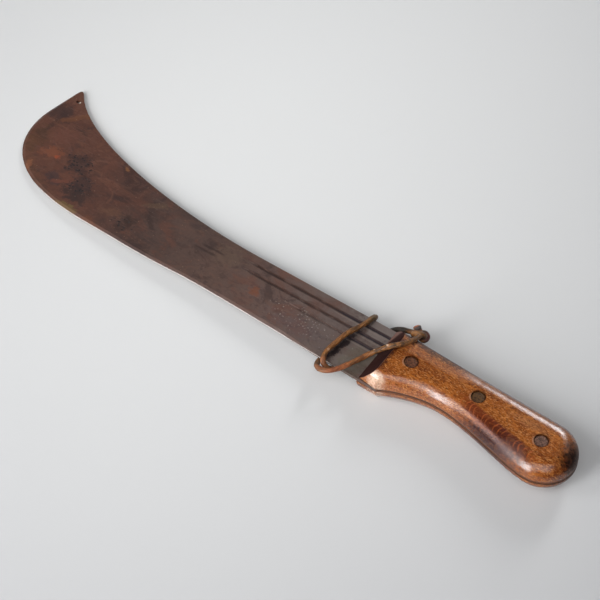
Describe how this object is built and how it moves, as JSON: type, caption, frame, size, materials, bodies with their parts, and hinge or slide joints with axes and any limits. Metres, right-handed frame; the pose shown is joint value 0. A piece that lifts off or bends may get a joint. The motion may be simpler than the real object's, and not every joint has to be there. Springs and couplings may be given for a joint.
{
  "type": "machete",
  "caption": "Short machete with a broad blade that sweeps up to a hooked tip, a full tang between riveted wooden scales, and a leather thong looped around the blade.",
  "frame": {"origin": "middle of the length and width of the machete, on the plane of the lower scale's flat outer face", "axes": "+X to the butt of the handle, -X to the tip, -Y to the cutting edge, +Y to the spine, +Z out of the face with the rivet heads"},
  "size_m": [0.4176, 0.0976, 0.0251],
  "materials": {
    "blade_steel": "rust-brown patina, pitted, with a thin bright worn cutting edge",
    "handle_wood": "oiled and hand-polished figured hardwood",
    "rivet_metal": "dark, pitted, worn flat",
    "thong_leather": "old dry round lace, dull"
  },
  "bodies": {
    "root": {"blade": "blade_steel", "scale_top": "handle_wood", "scale_bottom": "handle_wood", "rivet_front": "rivet_metal", "rivet_middle": "rivet_metal", "rivet_rear": "rivet_metal", "burr_front": "rivet_metal", "burr_middle": "rivet_metal", "burr_rear": "rivet_metal", "lace": "thong_leather", "lace_knot": "thong_leather"}
  },
  "joints": []
}
